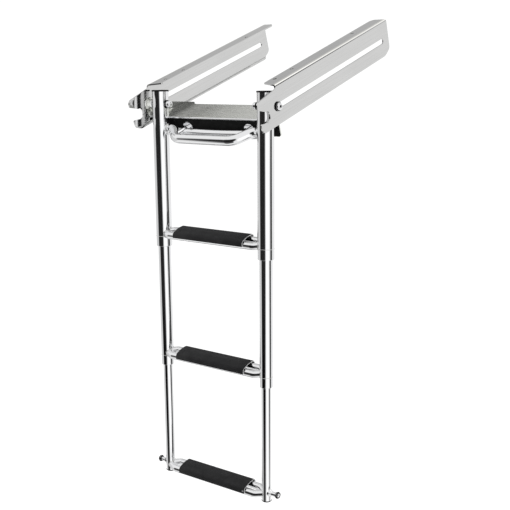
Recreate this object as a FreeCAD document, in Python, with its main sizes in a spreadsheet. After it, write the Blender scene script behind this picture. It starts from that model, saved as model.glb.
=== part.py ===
import FreeCAD, Part
import math
import os
import Sketcher

# Telescopic swim ladder for the underside of a bathing platform.
# X runs along the treads, +Y goes back under the platform, +Z is up.
# The ladder hangs from two pivot bolts that slide in the slots of two side rails.
# Everything is drawn about the middle of the pivot axis, then shifted so that the
# origin lies on the top face of the right rail's mounting flange.

doc = FreeCAD.newDocument("swim_ladder")
sheet = doc.addObject("Spreadsheet::Sheet", "Dimensions")

DIMENSIONS = [
    # overall layout, in millimetres and degrees
    ("lean_angle", 18.0),
    ("rail_spread", 310.0),
    ("tube_inset", 27.5),
    ("tread_pitch", 249.0),
    # side rails, folded from one sheet
    ("rail_sheet", 2.5),
    ("bend_inside", 2.0),
    ("rail_above_slot", 37.9),
    ("rail_below_slot", 33.5),
    ("rail_reach", 402.0),
    ("rail_far_rise", 12.0),
    ("rail_far_run", 24.0),
    ("rail_far_round", 20.0),
    ("rail_flange", 32.0),
    ("flange_round", 16.0),
    ("flange_start", 4.0),
    ("flange_slant", 9.0),
    ("rail_lip", 6.5),
    ("slot_height", 10.5),
    ("slot_end_web", 21.5),
    # nose of the rail with the notch that catches the latch pin
    ("nose_reach", 58.0),
    ("nose_height", 25.0),
    ("nose_round", 8.0),
    ("shoulder_height", 31.0),
    ("notch_radius", 10.0),
    ("notch_back", 37.0),
    ("notch_drop", 7.0),
    ("notch_mouth", 13.0),
    ("notch_lead", 3.0),
    ("chin_reach", 56.0),
    ("chin_round", 14.0),
    # mounting holes in the flange
    ("hole_diameter", 7.0),
    ("hole_inset", 23.0),
    ("hole_first", 35.0),
    ("hole_pair", 55.0),
    ("hole_rear", 306.0),
    # sliding saddle between the rails
    ("slide_gap", 0.3),
    ("saddle_sheet", 2.5),
    ("saddle_depth", 72.0),
    ("saddle_tab", 12.0),
    ("saddle_tab_width", 40.0),
    ("saddle_face", 30.0),
    ("saddle_face_gap", 5.0),
    ("ear_radius", 13.0),
    ("ear_waist", 6.0),
    ("ear_foot", 48.0),
    # pivot bolts and what sits on them
    ("bolt_diameter", 8.0),
    ("running_gap", 0.05),
    ("seat_gap", 0.3),
    ("bolt_head_diameter", 14.0),
    ("bolt_head_height", 3.4),
    ("washer_diameter", 16.5),
    ("washer_thick", 1.2),
    ("bush_flange_thick", 0.8),
    ("spacer_diameter", 18.0),
    ("nut_diameter", 13.0),
    ("nut_height", 9.5),
    # telescopic tubes
    ("tube_wall", 1.2),
    ("upper_tube", 31.75),
    ("middle_tube", 25.4),
    ("lower_tube", 19.05),
    ("tube_above_pivot", 24.0),
    ("first_tread", 251.0),
    ("tube_past_tread", 26.0),
    ("middle_top", 218.0),
    ("lower_top", 463.0),
    ("foot_past_tread", 16.5),
    # caps, guide bushes and stop collars
    ("cap_thick", 2.7),
    ("cap_overhang", 0.7),
    ("plug_depth", 9.0),
    ("guide_flange", 1.2),
    ("guide_depth", 24.0),
    ("guide_gap", 0.08),
    ("guide_round", 0.5),
    ("stop_length", 15.0),
    ("edge_round", 1.0),
    # steps
    ("frame_tube", 15.0),
    ("frame_wall", 1.2),
    ("frame_half_depth", 11.0),
    ("frame_flare", 22.0),
    ("frame_bend", 14.0),
    ("weld_gap", 0.02),
    ("pad_length", 173.0),
    ("pad_depth", 42.0),
    ("pad_wall", 2.2),
    ("pad_foot", 1.0),
    ("pad_shoulder", 10.8),
    ("pad_crown", 13.4),
    ("pad_taper", 2.0),
    ("pad_round", 9.0),
    ("pad_rib", 2.0),
    # grab bars between the upper tubes
    ("front_bar_tube", 19.0),
    ("front_bar_drop", 41.5),
    ("front_bar_forward", 2.0),
    ("front_bar_flat", 68.0),
    ("front_bar_bend", 60.0),
    ("bar_wall", 1.5),
    ("front_bar_sag", 29.0),
    ("front_bar_tilt", 46.0),
    ("rear_bar_tube", 17.0),
    ("rear_bar_drop", 50.0),
    ("rear_bar_back", 10.0),
    ("rear_bar_sag", 4.0),
    # stops on the rear grab bar that rest on the saddle's turned-down face
    ("stop_across", 75.0),
    ("stop_level", 49.0),
    ("stop_front", 38.0),
    ("stop_stem", 11.0),
    ("stop_disc", 24.0),
    ("stop_disc_thick", 2.5),
    # latch pins on the lower tubes
    ("pin_above_foot", 19.5),
    ("pin_boss_diameter", 15.0),
    ("pin_boss_length", 5.0),
    ("pin_neck_diameter", 9.0),
    ("pin_neck_end", 24.5),
    ("pin_head_diameter", 12.0),
    ("pin_end", 30.0),
    ("pin_dome", 4.2),
]


class Size:
    """A number together with the expression that gives it from the sheet."""

    def __init__(self, value, text):
        self.value = value
        self.text = text

    def __add__(self, other):
        other = as_size(other)
        return Size(self.value + other.value, "(%s + %s)" % (self.text, other.text))

    def __radd__(self, other):
        return as_size(other) + self

    def __sub__(self, other):
        other = as_size(other)
        return Size(self.value - other.value, "(%s - %s)" % (self.text, other.text))

    def __rsub__(self, other):
        return as_size(other) - self

    def __mul__(self, other):
        other = as_size(other)
        return Size(self.value * other.value, "(%s * %s)" % (self.text, other.text))

    def __rmul__(self, other):
        return as_size(other) * self

    def __truediv__(self, other):
        other = as_size(other)
        return Size(self.value / other.value, "(%s / %s)" % (self.text, other.text))

    def __neg__(self):
        return Size(-self.value, "(0 - %s)" % self.text)


def as_size(number):
    if isinstance(number, Size):
        return number
    if number < 0:
        return Size(float(number), "(0 - %s)" % repr(-float(number)))
    return Size(float(number), repr(float(number)))


def root(size):
    return Size(math.sqrt(size.value), "sqrt(%s)" % size.text)


def sine(angle):
    return Size(math.sin(math.radians(angle.value)), "sin(%s)" % angle.text)


def cosine(angle):
    return Size(math.cos(math.radians(angle.value)), "cos(%s)" % angle.text)


class Sizes:
    """Holds every size of the sheet under its own name."""


size = Sizes()
for row, (alias, number) in enumerate(DIMENSIONS, start=1):
    sheet.set("A%d" % row, alias)
    sheet.set("B%d" % row, repr(number))
    sheet.setAlias("B%d" % row, alias)
    setattr(size, alias, Size(number, "Dimensions." + alias))
doc.recompute()

half_rails = size.rail_spread / 2
half_tubes = half_rails - size.tube_inset
web_inside = half_rails - size.rail_sheet
saddle_outside = web_inside - size.slide_gap
saddle_inside = saddle_outside - size.saddle_sheet
saddle_bottom = size.rail_sheet + size.slide_gap - size.rail_below_slot
saddle_top = saddle_bottom + size.saddle_sheet
bolt_radius = size.bolt_diameter / 2
bolt_hole = bolt_radius + size.running_gap
upper_radius = size.upper_tube / 2
middle_radius = size.middle_tube / 2
lower_radius = size.lower_tube / 2
second_tread = size.first_tread + size.tread_pitch
third_tread = second_tread + size.tread_pitch
upper_reach = size.first_tread + size.tube_past_tread
middle_reach = second_tread + size.tube_past_tread
foot_reach = third_tread + size.foot_past_tread
origin_across = half_rails - size.hole_inset
origin_back = (size.hole_first + size.hole_rear) / 2
origin_up = size.rail_above_slot
# the tubes' back meets the saddle's front edge at this distance behind the pivot
face_front = (upper_radius / cosine(size.lean_angle)
              + saddle_top * sine(size.lean_angle) / cosine(size.lean_angle) + size.seat_gap)

SIDES = (("left", -1), ("right", 1))
handed_in = []


def bind(item, name, number):
    item.setExpression(name, as_size(number).text)


def place(item, across, back, up, turn=None, about=(1, 0, 0)):
    """Puts an item in the frame of the pivot axis, without the shift to the origin."""
    if turn is not None:
        item.Placement = FreeCAD.Placement(FreeCAD.Vector(0, 0, 0),
                                           FreeCAD.Rotation(FreeCAD.Vector(*about), turn.value))
        bind(item, "Placement.Rotation.Angle", turn)
    bind(item, "Placement.Base.x", across)
    bind(item, "Placement.Base.y", back)
    bind(item, "Placement.Base.z", up)


def finish(item, name, across=0, along=0, lean=False):
    """Labels a sub-part and moves it from the pivot axis to the part's own frame.

    `along` is the distance down the leaning tubes at which the sub-part is drawn.
    """
    item.Label = name
    back = -1 * as_size(along) * sine(size.lean_angle)
    up = -1 * as_size(along) * cosine(size.lean_angle)
    turn = -size.lean_angle if lean else None
    place(item, as_size(across) - origin_across, back - origin_back, up - origin_up, turn)
    handed_in.append(item)


def new_body(name):
    return doc.addObject("PartDesign::Body", name)


def new_sketch(body, plane, name, raised=None):
    sketch = body.newObject("Sketcher::SketchObject", name)
    for feature in body.Origin.OriginFeatures:
        if feature.Role == plane:
            sketch.AttachmentSupport = [(feature, "")]
    sketch.MapMode = "FlatFace"
    if raised is not None:
        bind(sketch, "AttachmentOffset.Base.z", raised)
    return sketch


def pin_point(sketch, geometry, end, point):
    for kind, number in (("DistanceX", point[0]), ("DistanceY", point[1])):
        number = as_size(number)
        index = sketch.addConstraint(Sketcher.Constraint(kind, -1, 1, geometry, end, number.value))
        sketch.setExpression("Constraints[%d]" % index, number.text)


def add_circle(sketch, centre, radius):
    centre = [as_size(number) for number in centre]
    radius = as_size(radius)
    middle = FreeCAD.Vector(centre[0].value, centre[1].value, 0)
    index = sketch.addGeometry(Part.Circle(middle, FreeCAD.Vector(0, 0, 1), radius.value))
    pin_point(sketch, index, 3, centre)
    bound = sketch.addConstraint(Sketcher.Constraint("Radius", index, radius.value))
    sketch.setExpression("Constraints[%d]" % bound, radius.text)


def corner_points(before, corner, after, radius):
    """The two points where an arc of the radius leaves and joins the sides of a corner."""
    arms = []
    for other in (before, after):
        run = [other[0] - corner[0], other[1] - corner[1]]
        length = root(run[0] * run[0] + run[1] * run[1])
        arms.append([run[0] / length, run[1] / length])
    cosine_between = arms[0][0] * arms[1][0] + arms[0][1] * arms[1][1]
    reach = radius * root((1 + cosine_between) / (1 - cosine_between))
    return [[corner[0] + reach * arm[0], corner[1] + reach * arm[1]] for arm in arms]


def flat(point):
    return FreeCAD.Vector(point[0].value, point[1].value, 0)


def add_arc(sketch, centre, start, end, radius):
    """Adds the shorter arc from start to end; returns it with the names of its two ends."""
    first = start - centre
    last = end - centre
    ends = (1, 2)
    if first.cross(last).z < 0:
        first, last = last, first
        ends = (2, 1)
    circle = Part.Circle(centre, FreeCAD.Vector(0, 0, 1), radius.value)
    arc = Part.ArcOfCircle(circle, math.atan2(first.y, first.x), math.atan2(last.y, last.x))
    index = sketch.addGeometry(arc)
    bound = sketch.addConstraint(Sketcher.Constraint("Radius", index, radius.value))
    sketch.setExpression("Constraints[%d]" % bound, radius.text)
    return index, ends[0], ends[1]


def outline(sketch, corners, closed=True):
    """Draws straight sides through the corners, with an arc where a corner has a radius."""
    corners = [[as_size(number) for number in corner] for corner in corners]
    count = len(corners)
    stops = []
    for index, corner in enumerate(corners):
        ends_here = not closed and index in (0, count - 1)
        if len(corner) == 2 or ends_here:
            stops.append((corner[:2], corner[:2], None))
            continue
        before = corners[index - 1]
        after = corners[(index + 1) % count]
        first, last = corner_points(before, corner, after, corner[2])
        stops.append((first, last, corner))
    pieces = []
    for index in range(count if closed else count - 1):
        here = stops[index]
        there = stops[(index + 1) % count]
        line = sketch.addGeometry(Part.LineSegment(flat(here[1]), flat(there[0])))
        pin_point(sketch, line, 1, here[1])
        pin_point(sketch, line, 2, there[0])
        pieces.append(line)
    for index, (first, last, corner) in enumerate(stops):
        if corner is None:
            continue
        start = flat(first)
        end = flat(last)
        tip = flat(corner)
        towards = (start + end) * 0.5 - tip
        half_turn = (start - tip).getAngle(towards)
        centre = tip + towards.normalize() * (corner[2].value / math.sin(half_turn))
        arc, start_end, end_end = add_arc(sketch, centre, start, end, corner[2])
        sketch.addConstraint(Sketcher.Constraint("Coincident", arc, start_end, pieces[index - 1], 2))
        sketch.addConstraint(Sketcher.Constraint("Coincident", arc, end_end, pieces[index], 1))


def pad(body, sketch, length, name, second=None, symmetric=False, reverse=False):
    feature = body.newObject("PartDesign::Pad", name)
    feature.Profile = sketch
    bind(feature, "Length", length)
    if second is not None:
        feature.SideType = "Two sides"
        bind(feature, "Length2", second)
    if symmetric:
        feature.SideType = "Symmetric"
    feature.Reversed = reverse
    return feature


def pocket(body, sketch, length, name, symmetric=False, reverse=False):
    feature = body.newObject("PartDesign::Pocket", name)
    feature.Profile = sketch
    bind(feature, "Length", length)
    if symmetric:
        feature.SideType = "Symmetric"
    feature.Reversed = reverse
    return feature


def turned(name, corners, axis="V_Axis"):
    """A turned piece: the outline lies in the XZ plane and turns about an axis of its sketch."""
    body = new_body(name + "_turned")
    sketch = new_sketch(body, "XZ_Plane", name + "_section")
    outline(sketch, corners)
    revolution = body.newObject("PartDesign::Revolution", name + "_revolution")
    revolution.Profile = sketch
    revolution.ReferenceAxis = (sketch, [axis])
    revolution.Angle = 360.0
    return body


def round_bar(name, radius, length, low):
    bar = doc.addObject("Part::Cylinder", name)
    bind(bar, "Radius", radius)
    bind(bar, "Height", length)
    bind(bar, "Placement.Base.z", low)
    return bar


def cut(name, base, tool):
    result = doc.addObject("Part::Cut", name)
    result.Base = base
    result.Tool = tool
    return result


def fuse(name, items):
    result = doc.addObject("Part::MultiFuse", name)
    result.Shapes = items
    return result


def bent_bar(name, radius, corners, height=0):
    """A round bar bent to a path through the corners, from the middle out, then mirrored."""
    body = new_body(name)
    path = new_sketch(body, "XY_Plane", name + "_path", raised=height)
    outline(path, corners, closed=False)
    section = new_sketch(body, "YZ_Plane", name + "_section")
    add_circle(section, (corners[0][1], height), radius)
    pipe = body.newObject("PartDesign::AdditivePipe", name + "_pipe")
    pipe.Profile = section
    pipe.Spine = path
    mirror_half(body, name, pipe)
    return body


def mirror_half(body, name, feature):
    mirror = body.newObject("PartDesign::Mirrored", name + "_mirror")
    mirror.Originals = [feature]
    for plane in body.Origin.OriginFeatures:
        if plane.Role == "YZ_Plane":
            mirror.MirrorPlane = (plane, [""])
    body.Tip = mirror


def bowed_bar(name, radius, sag):
    """A round bar bent to one arc that hangs by the sag in the middle, mirrored at the middle."""
    reach = half_tubes
    bend = (reach * reach + sag * sag) / (2 * sag)
    body = new_body(name)
    path = new_sketch(body, "XZ_Plane", name + "_path")
    low = [as_size(0), -1 * sag]
    high = [reach, as_size(0)]
    centre = FreeCAD.Vector(0, bend.value - sag.value, 0)
    arc, low_end, high_end = add_arc(path, centre, flat(low), flat(high), bend)
    pin_point(path, arc, low_end, low)
    pin_point(path, arc, high_end, high)
    section = new_sketch(body, "YZ_Plane", name + "_section")
    add_circle(section, (0, -1 * sag), radius)
    pipe = body.newObject("PartDesign::AdditivePipe", name + "_pipe")
    pipe.Profile = section
    pipe.Spine = path
    mirror_half(body, name, pipe)
    return body


# Side rails: a folded channel, cut to the side view with its nose, slot and flange ends
def rail_side_view():
    bottom = -1 * size.rail_below_slot
    notch_low = -1 * size.notch_drop - size.notch_radius
    notch_high = size.notch_radius - size.notch_drop
    notch_end = size.notch_radius - size.notch_back
    inner_round = size.notch_radius * 0.8
    return [
        (size.rail_reach, size.rail_above_slot, 3),
        (size.rail_reach, bottom + size.rail_far_rise, size.rail_far_round / 2),
        (size.rail_reach - size.rail_far_run, bottom, size.rail_far_round),
        (-1 * size.chin_reach, bottom, size.chin_round),
        (-1 * size.chin_reach, -1 * size.notch_mouth, size.notch_lead),
        (-1 * size.notch_back, notch_low, 5),
        (notch_end, notch_low, inner_round),
        (notch_end, notch_high, inner_round),
        (-1 * size.notch_back, notch_high, 5),
        (-1 * size.nose_reach, size.notch_mouth, size.notch_lead),
        (-1 * size.nose_reach, size.nose_height, size.nose_round),
        (size.flange_start - 3, size.shoulder_height, 3),
        (size.flange_start, size.rail_above_slot),
    ]


def make_rail(side, hand):
    name = side + "_rail"
    body = new_body(name)
    outer_bend = size.bend_inside + size.rail_sheet
    outside = half_rails * hand
    inside = web_inside * hand
    flange_edge = (half_rails - size.rail_flange) * hand
    lip_edge = (half_rails - size.rail_lip) * hand
    top = size.rail_above_slot
    bottom = -1 * size.rail_below_slot
    section = new_sketch(body, "XZ_Plane", name + "_section")
    outline(section, [
        (flange_edge, top),
        (outside, top, outer_bend),
        (outside, bottom, outer_bend),
        (lip_edge, bottom),
        (lip_edge, bottom + size.rail_sheet),
        (inside, bottom + size.rail_sheet, size.bend_inside),
        (inside, top - size.rail_sheet, size.bend_inside),
        (flange_edge, top - size.rail_sheet),
    ])
    pad(body, section, size.nose_reach + 1, name + "_channel", second=size.rail_reach + 1)
    side_view = new_sketch(body, "YZ_Plane", name + "_side_view")
    margin = size.rail_spread
    outline(side_view, [
        (-1 * size.nose_reach - margin, top + margin),
        (size.rail_reach + margin, top + margin),
        (size.rail_reach + margin, bottom - margin),
        (-1 * size.nose_reach - margin, bottom - margin),
    ])
    outline(side_view, rail_side_view())
    pocket(body, side_view, 2 * size.rail_spread, name + "_trim", symmetric=True)
    slot = new_sketch(body, "YZ_Plane", name + "_slot")
    half_slot = size.slot_height / 2
    outline(slot, [
        (-1 * half_slot, half_slot, half_slot * 0.999),
        (size.rail_reach - size.slot_end_web, half_slot, half_slot * 0.999),
        (size.rail_reach - size.slot_end_web, -1 * half_slot, half_slot * 0.999),
        (-1 * half_slot, -1 * half_slot, half_slot * 0.999),
    ])
    pocket(body, slot, 2 * size.rail_spread, name + "_slot_cut", symmetric=True)
    plan = new_sketch(body, "XY_Plane", name + "_plan")
    bend_line = (half_rails - outer_bend) * hand
    beyond = (half_rails - size.rail_flange - 2) * hand
    outline(plan, [
        (bend_line, size.flange_start - 6),
        (bend_line, size.flange_start),
        (flange_edge, size.flange_start + size.flange_slant, 3),
        (flange_edge, size.rail_reach, size.flange_round),
        (bend_line, size.rail_reach),
        (bend_line, size.rail_reach + 6),
        (beyond, size.rail_reach + 6),
        (beyond, size.flange_start - 6),
    ])
    pocket(body, plan, 2 * top, name + "_flange_ends", reverse=True)
    holes = new_sketch(body, "XY_Plane", name + "_holes")
    for along in (size.hole_first, size.hole_first + size.hole_pair, size.hole_rear):
        add_circle(holes, ((half_rails - size.hole_inset) * hand, along), size.hole_diameter / 2)
    pocket(body, holes, 2 * top, name + "_hole_cut", reverse=True)
    finish(body, name)


# Sliding saddle: a folded sheet between the rails, with ears on the bolts and a turned-down face
def make_saddle():
    name = "carriage_saddle"
    body = new_body(name)
    outer_bend = size.bend_inside + size.saddle_sheet
    ear_top = size.ear_radius
    section = new_sketch(body, "XZ_Plane", name + "_section")
    outline(section, [
        (-1 * saddle_outside, ear_top),
        (-1 * saddle_outside, saddle_bottom, outer_bend),
        (saddle_outside, saddle_bottom, outer_bend),
        (saddle_outside, ear_top),
        (saddle_inside, ear_top),
        (saddle_inside, saddle_top, size.bend_inside),
        (-1 * saddle_inside, saddle_top, size.bend_inside),
        (-1 * saddle_inside, ear_top),
    ])
    rear = face_front + size.saddle_depth + size.saddle_tab
    pad(body, section, size.ear_radius, name + "_fold", second=rear)
    side_view = new_sketch(body, "YZ_Plane", name + "_side_view")
    margin = size.rail_spread
    outline(side_view, [
        (-1 * margin, margin),
        (rear + margin, margin),
        (rear + margin, -1 * margin),
        (-1 * margin, -1 * margin),
    ])
    ear_round = size.ear_radius * 0.999
    outline(side_view, [
        (-1 * size.ear_radius, size.ear_radius, ear_round),
        (size.ear_radius, size.ear_radius, ear_round),
        (size.ear_radius, -1 * size.ear_waist, 6),
        (size.ear_foot, saddle_top + 2, 6),
        (size.ear_foot + 8, saddle_top),
        (rear, saddle_top),
        (rear, saddle_bottom),
        (face_front, saddle_bottom),
        (face_front, saddle_top),
        (-1 * size.ear_radius, -1 * size.ear_waist, 6),
    ])
    pocket(body, side_view, 2 * size.rail_spread, name + "_trim", symmetric=True)
    plan = new_sketch(body, "XY_Plane", name + "_plan")
    tab_edge = saddle_outside - size.saddle_tab_width
    back_edge = face_front + size.saddle_depth
    outline(plan, [
        (-1 * tab_edge, back_edge, 8),
        (tab_edge, back_edge, 8),
        (tab_edge + size.saddle_tab, rear + 1),
        (-1 * tab_edge - size.saddle_tab, rear + 1),
    ])
    pocket(body, plan, 2 * size.rail_spread, name + "_back_edge", symmetric=True)
    face = new_sketch(body, "XZ_Plane", name + "_face", raised=-1 * face_front)
    face_half = half_rails - size.rail_lip - size.saddle_face_gap
    face_low = saddle_bottom - size.saddle_face
    outline(face, [
        (-1 * face_half, saddle_top),
        (face_half, saddle_top),
        (face_half, face_low, 5),
        (-1 * face_half, face_low, 5),
    ])
    pad(body, face, size.saddle_sheet, name + "_turned_down", reverse=True)
    holes = new_sketch(body, "YZ_Plane", name + "_bolt_holes")
    add_circle(holes, (0, 0), bolt_hole)
    pocket(body, holes, 2 * size.rail_spread, name + "_bolt_hole_cut", symmetric=True)
    finish(body, name)


# Pivot bolts, slot bushes, spacers and cap nuts, all turned about the pivot axis
def make_pivot(side, hand):
    bush_end = half_rails + size.seat_gap + size.bush_flange_thick
    washer_start = bush_end + size.seat_gap
    head_start = washer_start + size.washer_thick
    nut_start = half_tubes - upper_radius - size.seat_gap
    nut_washer = nut_start - size.washer_thick
    nut_end = nut_washer - size.nut_height
    shank_end = nut_end + 2
    washer_radius = size.washer_diameter / 2
    head_radius = size.bolt_head_diameter / 2
    bolt = turned(side + "_pivot_bolt", [
        (shank_end * hand, 0),
        (shank_end * hand, bolt_radius),
        (washer_start * hand, bolt_radius),
        (washer_start * hand, washer_radius),
        (head_start * hand, washer_radius),
        (head_start * hand, head_radius),
        ((head_start + size.bolt_head_height) * hand, head_radius, size.bolt_head_height * 0.8),
        ((head_start + size.bolt_head_height) * hand, 0),
    ], axis="H_Axis")
    finish(bolt, side + "_pivot_bolt")
    nut_radius = size.nut_diameter / 2
    nut = turned(side + "_cap_nut", [
        (nut_start * hand, bolt_hole),
        (nut_start * hand, washer_radius * 0.8),
        (nut_washer * hand, washer_radius * 0.8),
        (nut_washer * hand, nut_radius),
        ((nut_end - 1) * hand, nut_radius, 4),
        ((nut_end - 1) * hand, 0),
        ((shank_end - size.seat_gap) * hand, 0),
        ((shank_end - size.seat_gap) * hand, bolt_hole),
    ], axis="H_Axis")
    finish(nut, side + "_cap_nut")
    bush_start = saddle_outside + size.slide_gap / 3
    bush_radius = size.slot_height / 2 - 2 * size.running_gap
    bush = turned(side + "_slot_bush", [
        (bush_start * hand, bolt_hole),
        (bush_start * hand, bush_radius),
        ((half_rails + size.seat_gap) * hand, bush_radius),
        ((half_rails + size.seat_gap) * hand, washer_radius),
        (bush_end * hand, washer_radius),
        (bush_end * hand, bolt_hole),
    ], axis="H_Axis")
    finish(bush, side + "_slot_bush")
    spacer_start = half_tubes + upper_radius + size.seat_gap
    spacer_end = saddle_inside - size.seat_gap
    spacer_radius = size.spacer_diameter / 2
    spacer = turned(side + "_pivot_spacer", [
        (spacer_start * hand, bolt_hole),
        (spacer_start * hand, spacer_radius),
        (spacer_end * hand, spacer_radius),
        (spacer_end * hand, bolt_hole),
    ], axis="H_Axis")
    finish(spacer, side + "_pivot_spacer")


# Telescopic tubes
def make_tube(side, hand, section, radius, top, bottom, drilled=False):
    name = "%s_%s_tube" % (side, section)
    length = bottom - top
    wall = round_bar(name + "_outside", radius, length, -1 * bottom)
    bore = round_bar(name + "_bore", radius - size.tube_wall, length + 2, -1 * bottom - 1)
    tube = cut(name + "_bored", wall, bore)
    if drilled:
        drill = doc.addObject("Part::Cylinder", name + "_drill")
        bind(drill, "Radius", bolt_hole)
        bind(drill, "Height", 4 * radius)
        place(drill, -2 * radius, 0, 0, turn=as_size(90), about=(0, 1, 0))
        tube = cut(name + "_drilled", tube, drill)
    finish(tube, name, across=half_tubes * hand, lean=True)


def make_cap(name, hand, radius, level, outward, overhang, edge):
    """A cap with its plug in a tube end; outward is 1 at a top end and -1 at a bottom end."""
    plug = radius - size.tube_wall - size.running_gap
    rim = radius + overhang
    cap = turned(name, [
        (0, level - outward * size.plug_depth),
        (plug, level - outward * size.plug_depth),
        (plug, level),
        (rim, level),
        (rim, level + outward * size.cap_thick, edge),
        (0, level + outward * size.cap_thick),
    ])
    finish(cap, name, across=half_tubes * hand, lean=True)


def make_guide(name, hand, outer_radius, inner_radius, reach):
    """The bush in the lower end of a tube that guides the next tube."""
    bore = inner_radius + size.guide_gap
    sleeve = outer_radius - size.tube_wall - size.running_gap
    guide = turned(name, [
        (bore, -1 * reach - size.guide_flange),
        (outer_radius, -1 * reach - size.guide_flange, size.guide_round),
        (outer_radius, -1 * reach),
        (sleeve, -1 * reach),
        (sleeve, size.guide_depth - reach),
        (bore, size.guide_depth - reach),
    ])
    finish(guide, name, across=half_tubes * hand, lean=True)


def make_stops(name, outer_radius, inner_radius, reach):
    """A pair of stop collars on the inner tubes; they meet the guides when pulled right out."""
    rings = []
    for side, hand in SIDES:
        low = size.guide_depth - reach + size.seat_gap
        ring = turned("%s_%s" % (side, name), [
            (inner_radius + size.weld_gap, low),
            (outer_radius - size.tube_wall - size.guide_gap, low),
            (outer_radius - size.tube_wall - size.guide_gap, low + size.stop_length),
            (inner_radius + size.weld_gap, low + size.stop_length),
        ])
        bind(ring, "Placement.Base.x", half_tubes * hand)
        rings.append(ring)
    finish(fuse(name + "_pair", rings), name, lean=True)


# Steps: a loop of two bent tubes round the section's tubes, with a moulded pad on top
def step_path(direction):
    depth = direction * size.frame_half_depth
    return [
        (0, depth),
        (half_tubes - size.frame_flare, depth, size.frame_bend),
        (half_tubes, 0),
    ]


def hood_section():
    """The arched section of a pad, with two ribs inside that sit on the frame's tubes."""
    half = size.pad_depth / 2
    wall = size.pad_wall
    foot = size.pad_foot
    outer = half - size.pad_taper
    inner = outer - wall
    ceiling = size.pad_shoulder - wall
    crown = size.pad_crown - wall
    rib_low = size.frame_tube / 2 + size.seat_gap
    rib_out = size.frame_half_depth + size.pad_rib / 2
    rib_in = size.frame_half_depth - size.pad_rib / 2
    right_side = [
        (half, foot),
        (half - wall, foot),
        (inner, ceiling, size.pad_round - wall),
        (rib_out, (ceiling + crown) / 2),
        (rib_out, rib_low),
        (rib_in, rib_low),
        (rib_in, (ceiling + crown) / 2),
    ]
    left_side = [(-1 * corner[0],) + tuple(corner[1:]) for corner in reversed(right_side)]
    top = [
        (-1 * outer, size.pad_shoulder, size.pad_round),
        (0, size.pad_crown, 3 * size.pad_round),
        (outer, size.pad_shoulder, size.pad_round),
    ]
    return top + right_side + [(0, crown, 2 * size.pad_round)] + left_side


def make_step(section, tube_radius, along):
    name = section + "_step_frame"
    outside = []
    inside = []
    for place_name, direction in (("front", -1), ("rear", 1)):
        path = step_path(direction)
        radius = size.frame_tube / 2
        outside.append(bent_bar("%s_%s" % (name, place_name), radius, path))
        inside.append(bent_bar("%s_%s_bore" % (name, place_name), radius - size.frame_wall, path))
    hollow = cut(name + "_hollow", fuse(name + "_tubes", outside), fuse(name + "_bores", inside))
    posts = []
    for side, hand in SIDES:
        post = doc.addObject("Part::Cylinder", "%s_%s_post" % (name, side))
        bind(post, "Radius", tube_radius + size.weld_gap)
        bind(post, "Height", 4 * size.frame_tube)
        place(post, half_tubes * hand, -2 * size.frame_tube * sine(size.lean_angle),
              -2 * size.frame_tube * cosine(size.lean_angle), turn=-size.lean_angle)
        posts.append(post)
    frame = cut(name + "_coped", hollow, fuse(name + "_posts", posts))
    finish(frame, name, along=along)
    pad_name = section + "_step_pad"
    body = new_body(pad_name)
    profile = new_sketch(body, "YZ_Plane", pad_name + "_profile")
    outline(profile, hood_section())
    pad(body, profile, size.pad_length, pad_name + "_moulding", symmetric=True)
    finish(body, pad_name, along=along)


# Grab bars between the upper tubes
def upper_posts(name):
    posts = []
    for side, hand in SIDES:
        post = round_bar("%s_%s_post" % (name, side), upper_radius + size.weld_gap,
                         upper_reach, -1 * upper_reach)
        bind(post, "Placement.Base.x", half_tubes * hand)
        posts.append(post)
    return posts


def front_bar(name, radius):
    """The front bar drops forward from the tubes and runs level between two bends."""
    bar = bent_bar(name, radius, [
        (0, -1 * size.front_bar_sag),
        (size.front_bar_flat, -1 * size.front_bar_sag, size.front_bar_bend),
        (half_tubes, 0),
    ])
    place(bar, 0, -1 * size.front_bar_forward, -1 * size.front_bar_drop,
          turn=90 - size.front_bar_tilt)
    return bar


def make_front_bar():
    name = "front_grab_bar"
    radius = size.front_bar_tube / 2
    hollow = cut(name + "_hollow", front_bar(name + "_outside", radius),
                 front_bar(name + "_bore", radius - size.bar_wall))
    finish(cut(name + "_coped", hollow, fuse(name + "_posts", upper_posts(name))), name, lean=True)


def rear_bar(name, radius):
    bar = bowed_bar(name, radius, size.rear_bar_sag)
    place(bar, 0, size.rear_bar_back, -1 * size.rear_bar_drop)
    return bar


def make_rear_bar():
    """The rear bar carries two stops, each a stem with a disc that meets the saddle's face."""
    name = "rear_grab_bar"
    radius = size.rear_bar_tube / 2
    hollow = cut(name + "_hollow", rear_bar(name + "_outside", radius),
                 rear_bar(name + "_bore", radius - size.bar_wall))
    disc_face = face_front - size.seat_gap
    pieces = [hollow]
    for side, hand in SIDES:
        stem = turned("%s_%s_stop" % (name, side), [
            (0, -1 * size.stop_front),
            (size.stop_stem / 2, -1 * size.stop_front),
            (size.stop_stem / 2, disc_face - size.stop_disc_thick),
            (size.stop_disc / 2, disc_face - size.stop_disc_thick),
            (size.stop_disc / 2, disc_face),
            (0, disc_face),
        ])
        place(stem, size.stop_across * hand, size.stop_level * sine(size.lean_angle),
              -1 * size.stop_level * cosine(size.lean_angle), turn=size.lean_angle - 90)
        pieces.append(stem)
    tools = upper_posts(name)
    tools.append(front_bar(name + "_front_bar", size.front_bar_tube / 2 + size.weld_gap))
    finish(cut(name + "_coped", fuse(name + "_joined", pieces), fuse(name + "_posts", tools)), name, lean=True)


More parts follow.
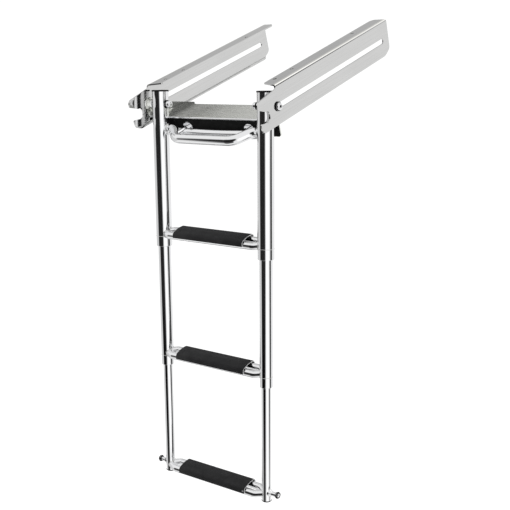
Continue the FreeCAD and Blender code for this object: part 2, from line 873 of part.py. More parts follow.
# Latch pins on the outside of the lower tubes
def make_latch_pin(side, hand):
    name = side + "_latch_pin"
    neck = size.pin_neck_diameter / 2
    boss = size.pin_boss_diameter / 2
    head = size.pin_head_diameter / 2
    boss_end = lower_radius + size.pin_boss_length
    body = turned(name, [
        (0, 0),
        (0, boss),
        (lower_radius * hand, boss),
        (boss_end * hand, neck, 3),
        (size.pin_neck_end * hand, neck),
        (size.pin_neck_end * hand, head, size.edge_round),
        (size.pin_end * hand, head, size.pin_dome),
        (size.pin_end * hand, 0),
    ], axis="H_Axis")
    post = round_bar(name + "_post", lower_radius + size.weld_gap, 4 * boss, -2 * boss)
    finish(cut(name + "_coped", body, post), name, across=half_tubes * hand,
           along=foot_reach - size.pin_above_foot, lean=True)


make_saddle()
for side, hand in SIDES:
    make_rail(side, hand)
    make_pivot(side, hand)
    make_tube(side, hand, "upper", upper_radius, -1 * size.tube_above_pivot, upper_reach, drilled=True)
    make_tube(side, hand, "middle", middle_radius, size.middle_top, middle_reach)
    make_tube(side, hand, "lower", lower_radius, size.lower_top, foot_reach - size.cap_thick)
    make_cap(side + "_tube_cap", hand, upper_radius, size.tube_above_pivot, 1,
             size.cap_overhang, size.edge_round)
    make_cap(side + "_foot_plug", hand, lower_radius, size.cap_thick - foot_reach, -1,
             as_size(0), size.cap_thick * 0.9)
    make_guide(side + "_upper_guide", hand, upper_radius, middle_radius, upper_reach)
    make_guide(side + "_middle_guide", hand, middle_radius, lower_radius, middle_reach)
    make_latch_pin(side, hand)
make_stops("middle_stop_collars", upper_radius, middle_radius, upper_reach)
make_stops("lower_stop_collars", middle_radius, lower_radius, middle_reach)
make_step("upper", upper_radius, size.first_tread)
make_step("middle", middle_radius, second_tread)
make_step("lower", lower_radius, third_tread)
make_front_bar()
make_rear_bar()

doc.recompute()

# Every object has to have built, and every sub-part has to be a sound solid
faults = []
for item in doc.Objects:
    if "Invalid" in item.State or "Error" in item.State:
        faults.append("%s: %s" % (item.Name, item.State))
for item in handed_in:
    shape = item.Shape
    if shape.isNull() or not shape.isValid() or not shape.Solids or shape.Volume <= 0:
        faults.append("%s: no sound solid" % item.Label)
if faults:
    raise RuntimeError("\n".join(faults))

os.makedirs("parts", exist_ok=True)
for item in handed_in:
    item.Shape.exportStep("parts/%s.step" % item.Label)
    box = item.Shape.BoundBox
    print("%-24s %d solid %9.0f mm3  X %7.1f %7.1f  Y %7.1f %7.1f  Z %7.1f %7.1f" % (
        item.Label, len(item.Shape.Solids), item.Shape.Volume,
        box.XMin, box.XMax, box.YMin, box.YMax, box.ZMin, box.ZMax))
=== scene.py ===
"""Looks of the telescopic swim ladder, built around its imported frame."""

import math

import bmesh
import bpy
from mathutils import Matrix, Vector, noise


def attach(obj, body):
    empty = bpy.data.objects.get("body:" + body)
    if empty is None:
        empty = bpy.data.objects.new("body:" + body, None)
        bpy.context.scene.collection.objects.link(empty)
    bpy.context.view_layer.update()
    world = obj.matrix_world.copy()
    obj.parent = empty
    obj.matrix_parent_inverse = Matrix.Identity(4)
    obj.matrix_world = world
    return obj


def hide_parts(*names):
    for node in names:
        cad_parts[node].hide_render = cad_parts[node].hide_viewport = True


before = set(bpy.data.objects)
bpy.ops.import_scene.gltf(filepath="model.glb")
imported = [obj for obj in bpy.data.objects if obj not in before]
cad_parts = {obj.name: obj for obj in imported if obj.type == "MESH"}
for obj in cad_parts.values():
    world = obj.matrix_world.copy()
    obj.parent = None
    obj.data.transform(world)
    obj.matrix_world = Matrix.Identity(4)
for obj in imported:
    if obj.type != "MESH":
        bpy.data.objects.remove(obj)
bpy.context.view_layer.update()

# The row frame's origin seen from the pivot axis, and the tubes' lean, in metres and radians
ORIGIN = Vector((0.132, 0.1705, 0.0379))
LEAN = math.radians(18)
DOWN = Vector((0, -math.sin(LEAN), -math.cos(LEAN)))
SQUARE = Vector((0, -math.cos(LEAN), math.sin(LEAN)))
SIDES = (("left", -1), ("right", 1))

# Half the tubes' spread, the tubes' radii, and the places of the treads down the tubes
HALF_TUBES = 0.1275
UPPER_RADIUS = 0.015875
LOWER_TREAD = 0.749
TREADS = (("upper", 0.251, UPPER_RADIUS), ("middle", 0.500, 0.0127), ("lower", LOWER_TREAD, 0.009525))

# Where the painted highlight runs along the rails' upper bends: from the middle plane outwards, and below the
# flange face
HIGHLIGHT_ACROSS = (0.1478, 0.1490)
HIGHLIGHT_HEIGHT = (-0.0022, -0.0012)

# The saddle's turned-down face, behind the pivot axis, and the sizes of the weld beads
FACE_BACK = 0.00783
BEAD = 0.0009
SEAM_BEAD = 0.00045
SEAM_DROP = 0.007


def at(across, back, up):
    return Vector((across, back, up)) - ORIGIN


def along_tube(across, distance, forward=0.0):
    """A point on a tube's axis, that far down from the pivot axis."""
    return Vector((across, 0, 0)) + DOWN * distance + SQUARE * forward - ORIGIN


# Materials
class Shader:
    def __init__(self, name):
        self.material = bpy.data.materials.new(name)
        self.material.use_nodes = True
        self.tree = self.material.node_tree
        self.surface = self.tree.nodes["Principled BSDF"]
        self.place = self.tree.nodes.new("ShaderNodeTexCoord").outputs["Object"]

    def set(self, **values):
        for name, value in values.items():
            self.surface.inputs[name.replace("_", " ")].default_value = value

    def link(self, output, name):
        self.tree.links.new(output, self.surface.inputs[name])

    def stretched(self, scale):
        mapping = self.tree.nodes.new("ShaderNodeMapping")
        mapping.inputs["Scale"].default_value = scale
        self.tree.links.new(self.place, mapping.inputs["Vector"])
        return mapping.outputs["Vector"]

    def noise(self, scale, detail=3.0, stretch=(1, 1, 1), roughness=0.5):
        texture = self.tree.nodes.new("ShaderNodeTexNoise")
        texture.inputs["Scale"].default_value = scale
        texture.inputs["Detail"].default_value = detail
        texture.inputs["Roughness"].default_value = roughness
        self.tree.links.new(self.stretched(stretch), texture.inputs["Vector"])
        return texture.outputs["Fac"]

    def ramp(self, value, stops):
        ramp = self.tree.nodes.new("ShaderNodeValToRGB")
        colours = ramp.color_ramp.elements
        while len(colours) < len(stops):
            colours.new(0.5)
        for element, (position, colour) in zip(colours, stops):
            element.position = position
            if not isinstance(colour, tuple):
                colour = (colour, colour, colour)
            element.color = colour + (1,)
        self.tree.links.new(value, ramp.inputs["Fac"])
        return ramp.outputs["Color"]

    def mixed(self, factor, first, second):
        mix = self.tree.nodes.new("ShaderNodeMix")
        mix.data_type = "RGBA"
        self.tree.links.new(factor, mix.inputs["Factor"])
        self.tree.links.new(first, mix.inputs["A"])
        self.tree.links.new(second, mix.inputs["B"])
        return mix.outputs["Result"]

    def over(self, value, start, end):
        """0 below start, 1 above end, with a straight rise between them."""
        reach = self.tree.nodes.new("ShaderNodeMapRange")
        reach.inputs["From Min"].default_value = start
        reach.inputs["From Max"].default_value = end
        self.tree.links.new(value, reach.inputs["Value"])
        return reach.outputs["Result"]

    def worked(self, operation, first, second):
        step = self.tree.nodes.new("ShaderNodeMath")
        step.operation = operation
        self.tree.links.new(first, step.inputs[0])
        if isinstance(second, float):
            step.inputs[1].default_value = second
        else:
            self.tree.links.new(second, step.inputs[1])
        return step.outputs[0]

    def painted_bend_highlight(self):
        """1 on the rails' upper bends, where a painted highlight is laid into the sheet's colour."""
        split = self.tree.nodes.new("ShaderNodeSeparateXYZ")
        self.tree.links.new(self.place, split.inputs[0])
        offset = self.worked("ADD", split.outputs["X"], ORIGIN.x)
        across = self.tree.nodes.new("ShaderNodeMath")
        across.operation = "ABSOLUTE"
        self.tree.links.new(offset, across.inputs[0])
        side = self.over(across.outputs[0], *HIGHLIGHT_ACROSS)
        top = self.over(split.outputs["Z"], *HIGHLIGHT_HEIGHT)
        return self.worked("MULTIPLY", side, top)

    def bump(self, height, strength, distance):
        bump = self.tree.nodes.new("ShaderNodeBump")
        bump.inputs["Strength"].default_value = strength
        bump.inputs["Distance"].default_value = distance
        self.tree.links.new(height, bump.inputs["Height"])
        self.link(bump.outputs["Normal"], "Normal")


def polished_steel():
    """Mirror-polished tube with faint polishing marks along it."""
    shader = Shader("polished_steel")
    shader.set(Metallic=1.0)
    marks = shader.noise(900, 2, (1, 1, 0.02))
    cloud = shader.noise(14, 3)
    shader.link(shader.ramp(cloud, [(0.3, (0.83, 0.835, 0.845)), (0.7, (0.87, 0.87, 0.875))]),
                "Base Color")
    shader.link(shader.ramp(marks, [(0.35, 0.045), (0.75, 0.085)]), "Roughness")
    shader.bump(shader.noise(5, 2), 0.12, 0.004)
    return shader.material


def brushed_sheet(name, tone, grain, smooth, rough):
    """Brushed stainless sheet; the grain runs along one axis, and a painted highlight lies along the rails'
    upper bends.
    """
    shader = Shader(name)
    shader.set(Metallic=1.0)
    lines = shader.noise(420, 4, grain)
    cloud = shader.noise(9, 4)
    light = tuple(min(1.0, level * 1.05) for level in tone)
    dark = tuple(level * 0.93 for level in tone)
    brushed = shader.ramp(lines, [(0.3, dark), (0.7, light)])
    patches = shader.ramp(cloud, [(0.3, dark), (0.75, light)])
    half = shader.ramp(shader.noise(30, 2), [(0.4, 0.35), (0.6, 0.5)])
    sheet = shader.mixed(half, brushed, patches)
    # Painted highlight: a near-white colour along the rails' upper bends, standing in for the bright line
    # that the bend reflects
    painted_highlight = shader.ramp(cloud, [(0.3, (0.97, 0.96, 0.91)), (0.7, (0.98, 0.97, 0.94))])
    shader.link(shader.mixed(shader.painted_bend_highlight(), sheet, painted_highlight), "Base Color")
    shader.link(shader.ramp(lines, [(0.3, smooth), (0.7, rough)]), "Roughness")
    shader.bump(lines, 0.04, 0.0003)
    return shader.material


def black_nylon():
    """Black plastic of the caps, plugs and collars; also the black of the painted dark reflection on the
    saddle's face and of the painted shade rings.
    """
    shader = Shader("black_nylon")
    shader.set(Specular_IOR_Level=0.05)
    shader.link(shader.ramp(shader.noise(60, 4), [(0.3, 0.006), (0.7, 0.013)]), "Base Color")
    shader.link(shader.ramp(shader.noise(400, 2), [(0.3, 0.38), (0.7, 0.50)]), "Roughness")
    shader.bump(shader.noise(1800, 2), 0.10, 0.0003)
    return shader.material


def black_moulding():
    """Matt black tread moulding with a fine grain."""
    shader = Shader("black_moulding")
    shader.set(Specular_IOR_Level=0.22)
    dark, light = (0.008, 0.008, 0.009), (0.017, 0.017, 0.018)
    shader.link(shader.ramp(shader.noise(55, 5), [(0.3, dark), (0.7, light)]), "Base Color")
    shader.link(shader.ramp(shader.noise(600, 2), [(0.3, 0.42), (0.7, 0.58)]), "Roughness")
    shader.bump(shader.noise(2400, 2), 0.15, 0.0002)
    return shader.material


def weld_steel():
    """Weld metal: duller than the tube, with a faint straw tint."""
    shader = Shader("weld_steel")
    shader.set(Metallic=1.0)
    shader.link(shader.ramp(shader.noise(220, 4), [(0.3, (0.62, 0.61, 0.58)), (0.7, (0.84, 0.84, 0.84))]),
                "Base Color")
    shader.link(shader.ramp(shader.noise(350, 3), [(0.3, 0.14), (0.7, 0.32)]), "Roughness")
    shader.bump(shader.noise(700, 2), 0.3, 0.0005)
    return shader.material


def cut_alloy():
    """Bare metal where the tread moulding is sawn off."""
    shader = Shader("cut_alloy")
    shader.set(Metallic=1.0)
    shader.link(shader.ramp(shader.noise(300, 3), [(0.3, 0.55), (0.7, 0.75)]), "Base Color")
    shader.link(shader.ramp(shader.noise(900, 2, (1, 0.1, 1)), [(0.3, 0.30), (0.7, 0.45)]), "Roughness")
    return shader.material


MIRROR = polished_steel()
SHEET = brushed_sheet("brushed_sheet", (0.66, 0.66, 0.655), (1, 0.02, 1), 0.06, 0.11)
PLATE = brushed_sheet("brushed_plate", (0.90, 0.91, 0.86), (0.02, 1, 1), 0.22, 0.30)
NYLON = black_nylon()
MOULDING = black_moulding()
WELD = weld_steel()
CUT = cut_alloy()


def paint(item, *materials):
    item.data.materials.clear()
    for material in materials:
        item.data.materials.append(material)


for name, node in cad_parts.items():
    if name.endswith("_rail"):
        paint(node, SHEET)
    elif name == "carriage_saddle":
        paint(node, PLATE)
    elif any(word in name for word in ("tube_cap", "foot_plug", "collars", "bush")):
        paint(node, NYLON)
    else:
        paint(node, MIRROR)


# Mesh helpers
def mesh_piece(name, points, faces, material, body, smooth=True):
    mesh = bpy.data.meshes.new(name)
    mesh.from_pydata([tuple(point) for point in points], [], faces)
    mesh.update()
    piece = bpy.data.objects.new(name, mesh)
    bpy.context.scene.collection.objects.link(piece)
    paint(piece, material)
    if smooth:
        mesh.polygons.foreach_set("use_smooth", [True] * len(mesh.polygons))
    tidy = bmesh.new()
    tidy.from_mesh(mesh)
    bmesh.ops.recalc_face_normals(tidy, faces=tidy.faces)
    tidy.to_mesh(mesh)
    tidy.free()
    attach(piece, body)
    return piece


def tube_points(path, radius, sides, closed):
    """Points and faces of a round bead that follows a path of points."""
    points = []
    faces = []
    count = len(path)
    middle = sum(path, Vector()) / count
    for index, centre in enumerate(path):
        before = path[index - 1] if closed or index else path[index]
        after = path[(index + 1) % count] if closed or index < count - 1 else path[index]
        ahead = (after - before).normalized()
        outward = centre - middle
        outward = (outward - ahead * outward.dot(ahead)).normalized()
        across = ahead.cross(outward)
        size = radius(index) if callable(radius) else radius
        for side in range(sides):
            turn = 2 * math.pi * side / sides
            points.append(centre + (outward * math.cos(turn) + across * math.sin(turn)) * size)
    rings = count if closed else count - 1
    for ring in range(rings):
        here = ring * sides
        there = ((ring + 1) % count) * sides
        for side in range(sides):
            following = (side + 1) % sides
            faces.append((here + side, here + following, there + following, there + side))
    return points, faces


def circle(centre, side, other, radius, count):
    """Points of a circle in the plane of two square directions."""
    points = []
    for step in range(count):
        turn = 2 * math.pi * step / count
        points.append(centre + (side * math.cos(turn) + other * math.sin(turn)) * radius)
    return points


def join(parts):
    points = []
    faces = []
    for part_points, part_faces in parts:
        start = len(points)
        points.extend(part_points)
        faces.extend(tuple(start + index for index in face) for face in part_faces)
    return points, faces


# Ribbed hood of each tread
def rounded(corners, steps=8):
    """Points along straight sides through the corners, with an arc where a corner has a radius."""
    points = []
    count = len(corners)
    for index, corner in enumerate(corners):
        here = Vector(corner[:2])
        if len(corner) == 2 or index in (0, count - 1):
            points.append(here)
            continue
        first = (Vector(corners[index - 1][:2]) - here).normalized()
        second = (Vector(corners[(index + 1) % count][:2]) - here).normalized()
        half = first.angle(second) / 2
        reach = corner[2] / math.tan(half)
        centre = here + (first + second).normalized() * (corner[2] / math.sin(half))
        start = here + first * reach - centre
        end = here + second * reach - centre
        sweep = start.angle_signed(end)
        for step in range(steps + 1):
            turn = Matrix.Rotation(-sweep * step / steps, 2)
            points.append(centre + turn @ start)
    return points


def spaced(points, gap):
    """The same line with evenly spaced points."""
    result = [points[0]]
    carry = gap
    for start, end in zip(points, points[1:]):
        length = (end - start).length
        while carry <= length:
            result.append(start.lerp(end, carry / length))
            carry += gap
        carry -= length
    result.append(points[-1])
    return result


def hood_outline():
    """Outer line with fine ribs, then the inner line back, in mm from the frame's centre."""
    outer = spaced(rounded([(-21, 1), (-19, 10.8, 9), (0, 13.4, 27), (19, 10.8, 9), (21, 1)]), 0.30)
    ribbed = []
    for index, point in enumerate(outer):
        before = outer[max(index - 1, 0)]
        after = outer[min(index + 1, len(outer) - 1)]
        ahead = (after - before).normalized()
        inward = Vector((ahead.y, -ahead.x))
        if 4 < index < len(outer) - 5:
            depth = 0.32 * (0.5 - 0.5 * math.cos(2 * math.pi * index / 6)) ** 0.7
            point = point + inward * depth
        ribbed.append(point)
    inner = rounded([(18.8, 1), (16.8, 8.6, 6.8), (12, 9.9), (12, 7.8), (10, 7.8), (10, 9.9), (0, 11.2),
                     (-10, 9.9), (-10, 7.8), (-12, 7.8), (-12, 9.9), (-16.8, 8.6, 6.8), (-18.8, 1)])
    return ribbed, inner


def make_hood(section, along):
    ribbed, inner = hood_outline()
    loop = ribbed + inner
    middle = Vector((0, 5.5))
    centre = along_tube(0, along)
    half = 86.5
    rings = [(-half, 0.5), (-half + 0.5, 0.0), (-half / 2, 0.0), (0, 0.0),
             (half / 2, 0.0), (half - 0.5, 0.0), (half, 0.5)]
    points = []
    for across, inset in rings:
        for index, point in enumerate(loop):
            moved = point
            if inset and index < len(ribbed):
                moved = point + (middle - point).normalized() * inset
            points.append(centre + Vector((across, moved.x, moved.y)) / 1000)
    count = len(loop)
    faces = []
    for ring in range(len(rings) - 1):
        for index in range(count):
            following = (index + 1) % count
            faces.append((ring * count + index, ring * count + following,
                          (ring + 1) * count + following, (ring + 1) * count + index))
    faces.append(tuple(range(count)))
    faces.append(tuple(range(count * (len(rings) - 1), count * len(rings)))[::-1])
    name = section + "_tread_hood"
    piece = mesh_piece(name, points, faces, MOULDING, section + "_section")
    for polygon in piece.data.polygons:
        polygon.use_smooth = len(polygon.vertices) == 4
    piece.data.set_sharp_from_angle(angle=math.radians(50))
    paint(piece, MOULDING, CUT)
    for polygon in piece.data.polygons:
        if len(polygon.vertices) > 4:
            polygon.material_index = 1
    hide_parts(section + "_step_pad")


# Weld beads where bars and step frames meet the tubes
def bead_path(start, ahead, radius, post, post_radius, count=28):
    """Where a round bar meets a leaning post: the line round the joint."""
    ahead = ahead.normalized()
    side = ahead.cross(DOWN).normalized()
    other = ahead.cross(side)
    path = []
    for line in circle(start, side, other, radius, count):
        offset = line - post
        flat_offset = offset - DOWN * offset.dot(DOWN)
        flat_ahead = ahead - DOWN * ahead.dot(DOWN)
        a = flat_ahead.length_squared
        b = 2 * flat_offset.dot(flat_ahead)
        c = flat_offset.length_squared - post_radius ** 2
        run = (-b - math.sqrt(max(b * b - 4 * a * c, 0))) / (2 * a)
        path.append(line + ahead * run)
    return path


def beads(name, body, joints, size):
    parts = []
    for number, (start, ahead, radius, post, post_radius) in enumerate(joints):
        path = bead_path(start, ahead, radius, post, post_radius)
        phase = number * 7.3

        def wave(index, phase=phase):
            return size * (1 + 0.22 * noise.noise(Vector((index * 0.9, phase, 0))))

        parts.append(tube_points(path, wave, 8, True))
    mesh_piece(name, *join(parts), WELD, body)


def step_joints(along, tube_radius):
    """The four places where a tread's frame meets the tubes."""
    inset, half_frame, bar_radius = 0.022, 0.011, 0.0075
    joints = []
    for _, hand in SIDES:
        post = along_tube(HALF_TUBES * hand, along)
        for direction in (-1, 1):
            corner = along_tube((HALF_TUBES - inset) * hand, along) + Vector((0, half_frame * direction, 0))
            joints.append((corner, post - corner, bar_radius, post, tube_radius))
    return joints


def tube_ring(across, along, radius, bead):
    """A ring round a tube."""
    side = Vector((1, 0, 0))
    return tube_points(circle(along_tube(across, along), side, DOWN.cross(side), radius, 48), bead, 8, True)


for section, along, tube_radius in TREADS:
    make_hood(section, along)
    beads(section + "_step_welds", section + "_section", step_joints(along, tube_radius), BEAD)
    if section != "lower":
        seams = [tube_ring(HALF_TUBES * hand, along + SEAM_DROP, tube_radius, SEAM_BEAD) for _, hand in SIDES]
        mesh_piece(section + "_seam_rings", *join(seams), WELD, section + "_section")


# Black sheet on the saddle's turned-down face: painted dark reflection, standing in for the black that the
# polished face reflects
def make_dark_reflection_face():
    corners = []
    half_width, low, high, bevel = 0.1428, -0.0602, -0.0312, 0.003
    outline = [(-half_width, high), (half_width, high),
               (half_width, low + bevel), (half_width - bevel, low),
               (-half_width + bevel, low), (-half_width, low + bevel)]
    for back in (FACE_BACK - 0.0002, FACE_BACK - 0.00001):
        corners.extend(at(across, back, up) for across, up in outline)
    count = len(outline)
    faces = [tuple(range(count)), tuple(range(2 * count - 1, count - 1, -1))]
    for index in range(count):
        following = (index + 1) % count
        faces.append((index, following, count + following, count + index))
    piece = mesh_piece("face_dark_reflection", corners, faces, NYLON, "carriage", smooth=False)


make_dark_reflection_face()


def make_bright_edge():
    """The polished bend where the saddle's plate turns down."""
    half_width = 0.1432
    rows = [(0.0014, -0.02805), (0.0002, -0.0282), (-0.0008, -0.0287),
            (-0.0015, -0.0296), (-0.0017, -0.0307), (-0.0001, -0.0314)]
    points = []
    for across in (-half_width, 0, half_width):
        points.extend(at(across, FACE_BACK + back, up) for back, up in rows)
    faces = []
    count = len(rows)
    for column in range(2):
        for row in range(count - 1):
            start = column * count + row
            faces.append((start, start + 1, start + count + 1, start + count))
    mesh_piece("saddle_bend", points, faces, MIRROR, "carriage")


make_bright_edge()


def round_ring(centre, axis, radius, bead):
    """A ring round any axis."""
    side = axis.orthogonal().normalized()
    return tube_points(circle(centre, side, axis.cross(side), radius, 40), bead, 8, True)


def disc(centre, axis, radius, thick, sides):
    """A thin plate with the given number of sides, a little smaller on top."""
    side = axis.orthogonal().normalized()
    other = axis.cross(side)
    points = circle(centre, side, other, radius, sides)
    points += circle(centre + axis * thick, side, other, radius * 0.93, sides)
    faces = [tuple(range(sides))[::-1], tuple(range(sides, 2 * sides))]
    for step in range(sides):
        following = (step + 1) % sides
        faces.append((step, following, sides + following, sides + step))
    return points, faces


# Painted shade: dark rings at the pivots, latch pins and feet, standing in for shade and dark reflections
# there, and dark floors in the pivot sockets, standing in for the shade in the recesses; and the pad's screw
def make_shade_rings_and_screw():
    across_axis = Vector((1, 0, 0))
    pivot_shade_rings = ((0.1568, 0.0078, 0.0009), (0.1577, 0.0071, 0.0005), (0.1096, 0.0070, 0.0010))
    socket_floor, socket_radius = 0.1589, 0.0029
    pin_shade_rings = ((0.0249, 0.0052), (0.0272, 0.0060), (0.0291, 0.0051))
    pin_drop, foot_drop, foot_radius = 0.746, 0.7632, 0.0092
    pivot_parts = []
    socket_parts = []
    for _, hand in SIDES:
        # Painted shade and dark reflection: black rings round each pivot head and washer
        for across, radius, bead in pivot_shade_rings:
            pivot_parts.append(round_ring(at(across * hand, 0, 0), across_axis, radius, bead))
        # Painted shade: a black disc on the floor of each pivot socket
        socket_parts.append(disc(at(socket_floor * hand, 0, 0), across_axis * hand, socket_radius, 0.0003, 6))
    mesh_piece("pivot_shade_rings", *join(pivot_parts), NYLON, "carriage")
    mesh_piece("pivot_socket_shade", *join(socket_parts), NYLON, "carriage", smooth=False)
    pin_parts = []
    for _, hand in SIDES:
        # Painted dark reflection: black rings round each latch pin's polished head
        for outward, radius in pin_shade_rings:
            centre = along_tube((HALF_TUBES + outward) * hand, pin_drop)
            pin_parts.append(round_ring(centre, across_axis, radius, 0.0010))
        # Painted shade: a dark ring where the foot meets the tube
        pin_parts.append(tube_ring(HALF_TUBES * hand, foot_drop, foot_radius, 0.0009))
    mesh_piece("pin_shade_rings", *join(pin_parts), NYLON, "lower_section")
    screw_across, screw_radius = 0.0832, 0.0017
    screw = along_tube(screw_across, LOWER_TREAD) + Vector((0, -0.0199, 0.006))
    screw_axis = Vector((0, -0.98, 0.20)).normalized()
    points, faces = disc(screw, screw_axis, screw_radius, 0.0004, 16)
    mesh_piece("pad_screw", points, faces, CUT, "lower_section", smooth=False)


make_shade_rings_and_screw()


def make_bolts():
    """The pivot bolts with a domed head, a washer and a hexagonal socket."""
    sides = 60
    shank_start, washer_start, head_start, head_end, socket_end = 0.102625, 0.1564, 0.1576, 0.161, 0.1588
    shank_radius, washer_radius, head_radius = 0.004, 0.00825, 0.007
    dome_start, dome_flat, dome_radius = 0.15828, 0.00428, 0.00272
    socket_corner = 0.0031
    sixth = math.pi / 3
    profile = [(shank_start, shank_radius), (washer_start, shank_radius), (washer_start, washer_radius),
               (head_start, washer_radius), (head_start, head_radius)]
    for step in range(7):
        turn = math.radians(15 * step)
        profile.append((dome_start + dome_radius * math.sin(turn), dome_flat + dome_radius * math.cos(turn)))
    profile += [(head_end, None), (socket_end, None)]
    for side, hand in SIDES:
        points = []
        for along, radius in profile:
            for step in range(sides):
                turn = 2 * math.pi * step / sides
                reach = radius
                if radius is None:
                    reach = socket_corner * math.cos(sixth / 2) / math.cos(turn % sixth - sixth / 2)
                points.append(at(along * hand, reach * math.cos(turn), reach * math.sin(turn)))
        faces = [tuple(range(sides)), tuple(range(len(points) - sides, len(points)))]
        for ring in range(len(profile) - 1):
            for step in range(sides):
                here = ring * sides + step
                following = ring * sides + (step + 1) % sides
                faces.append((here, following, following + sides, here + sides))
        piece = mesh_piece(side + "_pivot_bolt_socket", points, faces, MIRROR, "carriage", smooth=False)
        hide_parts(side + "_pivot_bolt")


make_bolts()


def bent(corners, reach, steps=10):
    """A path through the corners with each bend eased over the same reach on both sides."""
    path = [corners[0]]
    for before, corner, after in zip(corners, corners[1:], corners[2:]):
        start = corner + (before - corner).normalized() * reach
        end = corner + (after - corner).normalized() * reach
        for step in range(steps + 1):
            part = step / steps
            path.append(start.lerp(corner, part).lerp(corner.lerp(end, part), part))
    path.append(corners[-1])
    return path


def make_front_bar():
    """The front grab bar, which leaves the tubes on their inner sides."""
    bar_radius, bend_reach, weld_radius = 0.0095, 0.0145, 0.0096
    cope_radius = 0.0153
    drop, forward = 0.047, -0.005
    half = [(0.121, drop, forward), (0.096, drop, forward), (0.071, 0.0625, 0.0229)]
    corners = [along_tube(-across, distance, forward) for across, distance, forward in half]
    corners += [along_tube(across, distance, forward) for across, distance, forward in reversed(half)]
    sides = 40
    points, faces = tube_points(bent(corners, bend_reach), bar_radius, sides, False)
    for ring, hand in ((range(sides), -1), (range(len(points) - sides, len(points)), 1)):
        for index in ring:
            ahead = (points[index] + ORIGIN).dot(SQUARE)
            points[index].x = (HALF_TUBES - math.sqrt(cope_radius ** 2 - ahead ** 2)) * hand - ORIGIN.x
    piece = mesh_piece("front_grab_bar_bent", points, faces, MIRROR, "upper_section")
    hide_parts("front_grab_bar")
    joints = [(along_tube(half[1][0] * hand, drop, forward), Vector((hand, 0, 0)), weld_radius,
               along_tube(HALF_TUBES * hand, drop), UPPER_RADIUS) for _, hand in SIDES]
    beads("front_bar_welds", "upper_section", joints, BEAD)


make_front_bar()


# Camera: fitted to the photograph
def add_camera():
    picture, sensor = 510, 36
    focal, middle_x, middle_y = 955.49, 240.6, 314.2
    data = bpy.data.cameras.new("camera")
    data.sensor_width = sensor
    data.lens = focal / picture * sensor
    data.shift_x = (picture / 2 - middle_x) / picture
    data.shift_y = (middle_y - picture / 2) / picture
    data.clip_end = 200
    camera = bpy.data.objects.new("camera", data)
    turn = (Matrix.Rotation(math.radians(42.91), 4, "Z") @ Matrix.Rotation(math.radians(61.93), 4, "X")
            @ Matrix.Rotation(math.radians(-13.09), 4, "Z"))
    camera.matrix_world = Matrix.Translation(at(1.1713, -1.31018, 0.49212)) @ turn
    bpy.context.scene.collection.objects.link(camera)
    bpy.context.scene.camera = camera


# Studio: pale floor, soft lamps, and a white surround with soft patches that the mirror steel reflects
def add_floor():
    mesh = bpy.data.meshes.new("floor")
    reach = 40
    corners = [(-reach, -reach, 0), (reach, -reach, 0), (reach, reach, 0), (-reach, reach, 0)]
    mesh.from_pydata(corners, [], [(0, 1, 2, 3)])
    floor = bpy.data.objects.new("floor", mesh)
    floor.location = (0, 0, -1.7)
    bpy.context.scene.collection.objects.link(floor)
    material = bpy.data.materials.new("floor")
    material.use_nodes = True
    tree = material.node_tree
    surface = tree.nodes["Principled BSDF"]
    surface.inputs["Roughness"].default_value = 1.0
    surface.inputs["Specular IOR Level"].default_value = 0.0
    surface.inputs["Base Color"].default_value = (0.8, 0.8, 0.8, 1)
    glow = tree.nodes.new("ShaderNodeEmission")
    glow.inputs["Color"].default_value = (1, 1, 1, 1)
    path = tree.nodes.new("ShaderNodeLightPath")
    seen = tree.nodes.new("ShaderNodeMath")
    seen.operation = "MAXIMUM"
    tree.links.new(path.outputs["Is Camera Ray"], seen.inputs[0])
    tree.links.new(path.outputs["Is Transmission Ray"], seen.inputs[1])
    strength = tree.nodes.new("ShaderNodeMath")
    strength.operation = "MULTIPLY"
    strength.inputs[1].default_value = 0.42
    tree.links.new(seen.outputs[0], strength.inputs[0])
    tree.links.new(strength.outputs[0], glow.inputs["Strength"])
    both = tree.nodes.new("ShaderNodeAddShader")
    tree.links.new(surface.outputs[0], both.inputs[0])
    tree.links.new(glow.outputs[0], both.inputs[1])
    tree.links.new(both.outputs[0], tree.nodes["Material Output"].inputs["Surface"])
    mesh.materials.append(material)
    floor.visible_glossy = False


def world_node(tree, kind, operation=None, **values):
    node = tree.nodes.new(kind)
    if operation:
        node.operation = operation
    for key, value in values.items():
        node.inputs[int(key[1:])].default_value = value
    return node


def soft_patch(tree, direction, bearing, height, half_width, half_height):
    """1 inside a soft-edged patch of the surround, 0 outside it."""
    split = tree.nodes.new("ShaderNodeSeparateXYZ")
    tree.links.new(direction, split.inputs[0])
    back = world_node(tree, "ShaderNodeMath", "MULTIPLY", _1=-1.0)
    tree.links.new(split.outputs["Y"], back.inputs[0])
    angle = world_node(tree, "ShaderNodeMath", "ARCTAN2")
    tree.links.new(split.outputs["X"], angle.inputs[0])
    tree.links.new(back.outputs[0], angle.inputs[1])
    rise = world_node(tree, "ShaderNodeMath", "ARCSINE")
    tree.links.new(split.outputs["Z"], rise.inputs[0])
    squares = []
    for source, middle, half in ((angle, bearing, half_width), (rise, height, half_height)):
        shifted = world_node(tree, "ShaderNodeMath", "SUBTRACT", _1=math.radians(middle))
        tree.links.new(source.outputs[0], shifted.inputs[0])
        scaled = world_node(tree, "ShaderNodeMath", "DIVIDE", _1=math.radians(half))
        tree.links.new(shifted.outputs[0], scaled.inputs[0])
        power = world_node(tree, "ShaderNodeMath", "POWER", _1=4.0)
        whole = world_node(tree, "ShaderNodeMath", "ABSOLUTE")
        tree.links.new(scaled.outputs[0], whole.inputs[0])
        tree.links.new(whole.outputs[0], power.inputs[0])
        squares.append(power)
    total = world_node(tree, "ShaderNodeMath", "ADD")
    tree.links.new(squares[0].outputs[0], total.inputs[0])
    tree.links.new(squares[1].outputs[0], total.inputs[1])
    edge = tree.nodes.new("ShaderNodeMapRange")
    edge.interpolation_type = "SMOOTHSTEP"
    edge.inputs["From Min"].default_value = 1.3
    edge.inputs["From Max"].default_value = 0.25
    tree.links.new(total.outputs[0], edge.inputs["Value"])
    return edge.outputs["Result"]


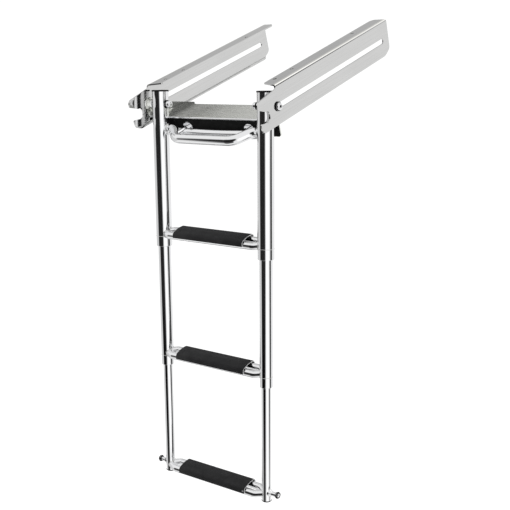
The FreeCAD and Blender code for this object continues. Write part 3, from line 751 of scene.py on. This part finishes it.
def add_world():
    world = bpy.data.worlds.new("world")
    bpy.context.scene.world = world
    world.use_nodes = True
    tree = world.node_tree
    background = tree.nodes["Background"]
    direction = tree.nodes.new("ShaderNodeTexCoord").outputs["Generated"]
    glossy_level, diffuse_level = 0.94, 0.78
    # Bearing, height, half width and half height in degrees, and depth: above 0 darker, below 0 brighter
    patches = (
        (-10, 17, 42, 25, 0.98),
        (-12, -18, 32, 22, 0.92),
        (-75, -8, 28, 24, 0.25),
        (108, -18, 17, 15, 0.93),
        (134, 15, 16, 13, 0.93),
        (-137, 26, 34, 17, 0.43),
        (-105, -51, 36, 13, 0.55),
        (58, -5, 22, 30, -0.28),
        (178, 50, 32, 14, -0.35),
    )
    value = world_node(tree, "ShaderNodeMath", "MULTIPLY", _0=glossy_level, _1=1.0).outputs[0]
    for bearing, height, half_width, half_height, depth in patches:
        patch = soft_patch(tree, direction, bearing, height, half_width, half_height)
        keep = world_node(tree, "ShaderNodeMath", "MULTIPLY_ADD", _1=-depth, _2=1.0)
        tree.links.new(patch, keep.inputs[0])
        product = world_node(tree, "ShaderNodeMath", "MULTIPLY")
        tree.links.new(value, product.inputs[0])
        tree.links.new(keep.outputs[0], product.inputs[1])
        value = product.outputs[0]
    path = tree.nodes.new("ShaderNodeLightPath")
    pick = tree.nodes.new("ShaderNodeMix")
    pick.data_type = "FLOAT"
    tree.links.new(path.outputs["Is Glossy Ray"], pick.inputs["Factor"])
    pick.inputs["A"].default_value = diffuse_level
    tree.links.new(value, pick.inputs["B"])
    seen = tree.nodes.new("ShaderNodeMix")
    seen.data_type = "FLOAT"
    tree.links.new(path.outputs["Is Camera Ray"], seen.inputs["Factor"])
    tree.links.new(pick.outputs["Result"], seen.inputs["A"])
    seen.inputs["B"].default_value = 1.0
    background.inputs["Color"].default_value = (1, 1, 1, 1)
    tree.links.new(seen.outputs["Result"], background.inputs["Strength"])


def add_lamp(name, place, target, size, power):
    data = bpy.data.lights.new(name, "AREA")
    data.shape = "RECTANGLE"
    data.size, data.size_y = size
    data.energy = power
    lamp = bpy.data.objects.new(name, data)
    lamp.location = place
    lamp.rotation_euler = (Vector(target) - Vector(place)).to_track_quat("-Z", "Y").to_euler()
    lamp.visible_glossy = False
    bpy.context.scene.collection.objects.link(lamp)


add_camera()
add_floor()
add_world()
add_lamp("key_lamp", (-1.6, -1.6, 2.2), (-0.1, 0, -0.4), (1.6, 1.6), 18)
add_lamp("fill_lamp", (2.2, 0.4, 1.6), (-0.1, 0, -0.4), (1.6, 1.6), 10)

bpy.context.scene.view_settings.view_transform = "Standard"
